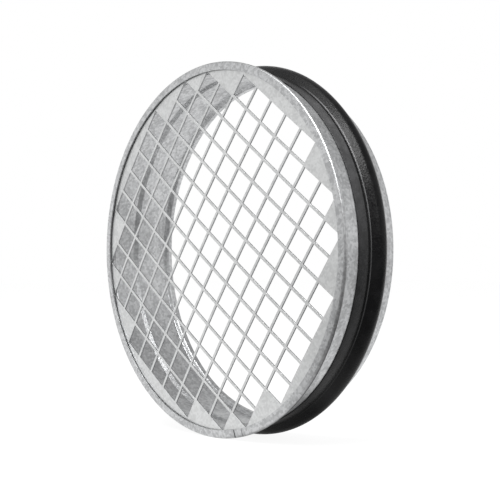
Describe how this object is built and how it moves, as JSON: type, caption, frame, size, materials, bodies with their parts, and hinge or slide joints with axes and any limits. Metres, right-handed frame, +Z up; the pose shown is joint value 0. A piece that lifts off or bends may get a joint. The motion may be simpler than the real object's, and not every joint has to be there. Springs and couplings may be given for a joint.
{
  "type": "duct end cap",
  "caption": "Round galvanised duct end cap: a short spigot with a rubber lip gasket, closed at the front by a punched square-mesh guard held in a folded hem.",
  "frame": {"origin": "on the axis of the spigot, in the plane of the stop face at the back of the hem", "axes": "+Y along the spigot's axis into the duct, -Y out through the mesh, +Z up as in the picture"},
  "size_m": [0.1668, 0.0369, 0.1668],
  "materials": {
    "galvanised_steel": "galvanised sheet, dull silver grey with faint spangle",
    "black_rubber": "moulded black rubber, satin"
  },
  "bodies": {
    "root": {"collar": "galvanised_steel", "mesh_plate": "galvanised_steel", "gasket": "black_rubber"}
  },
  "joints": []
}
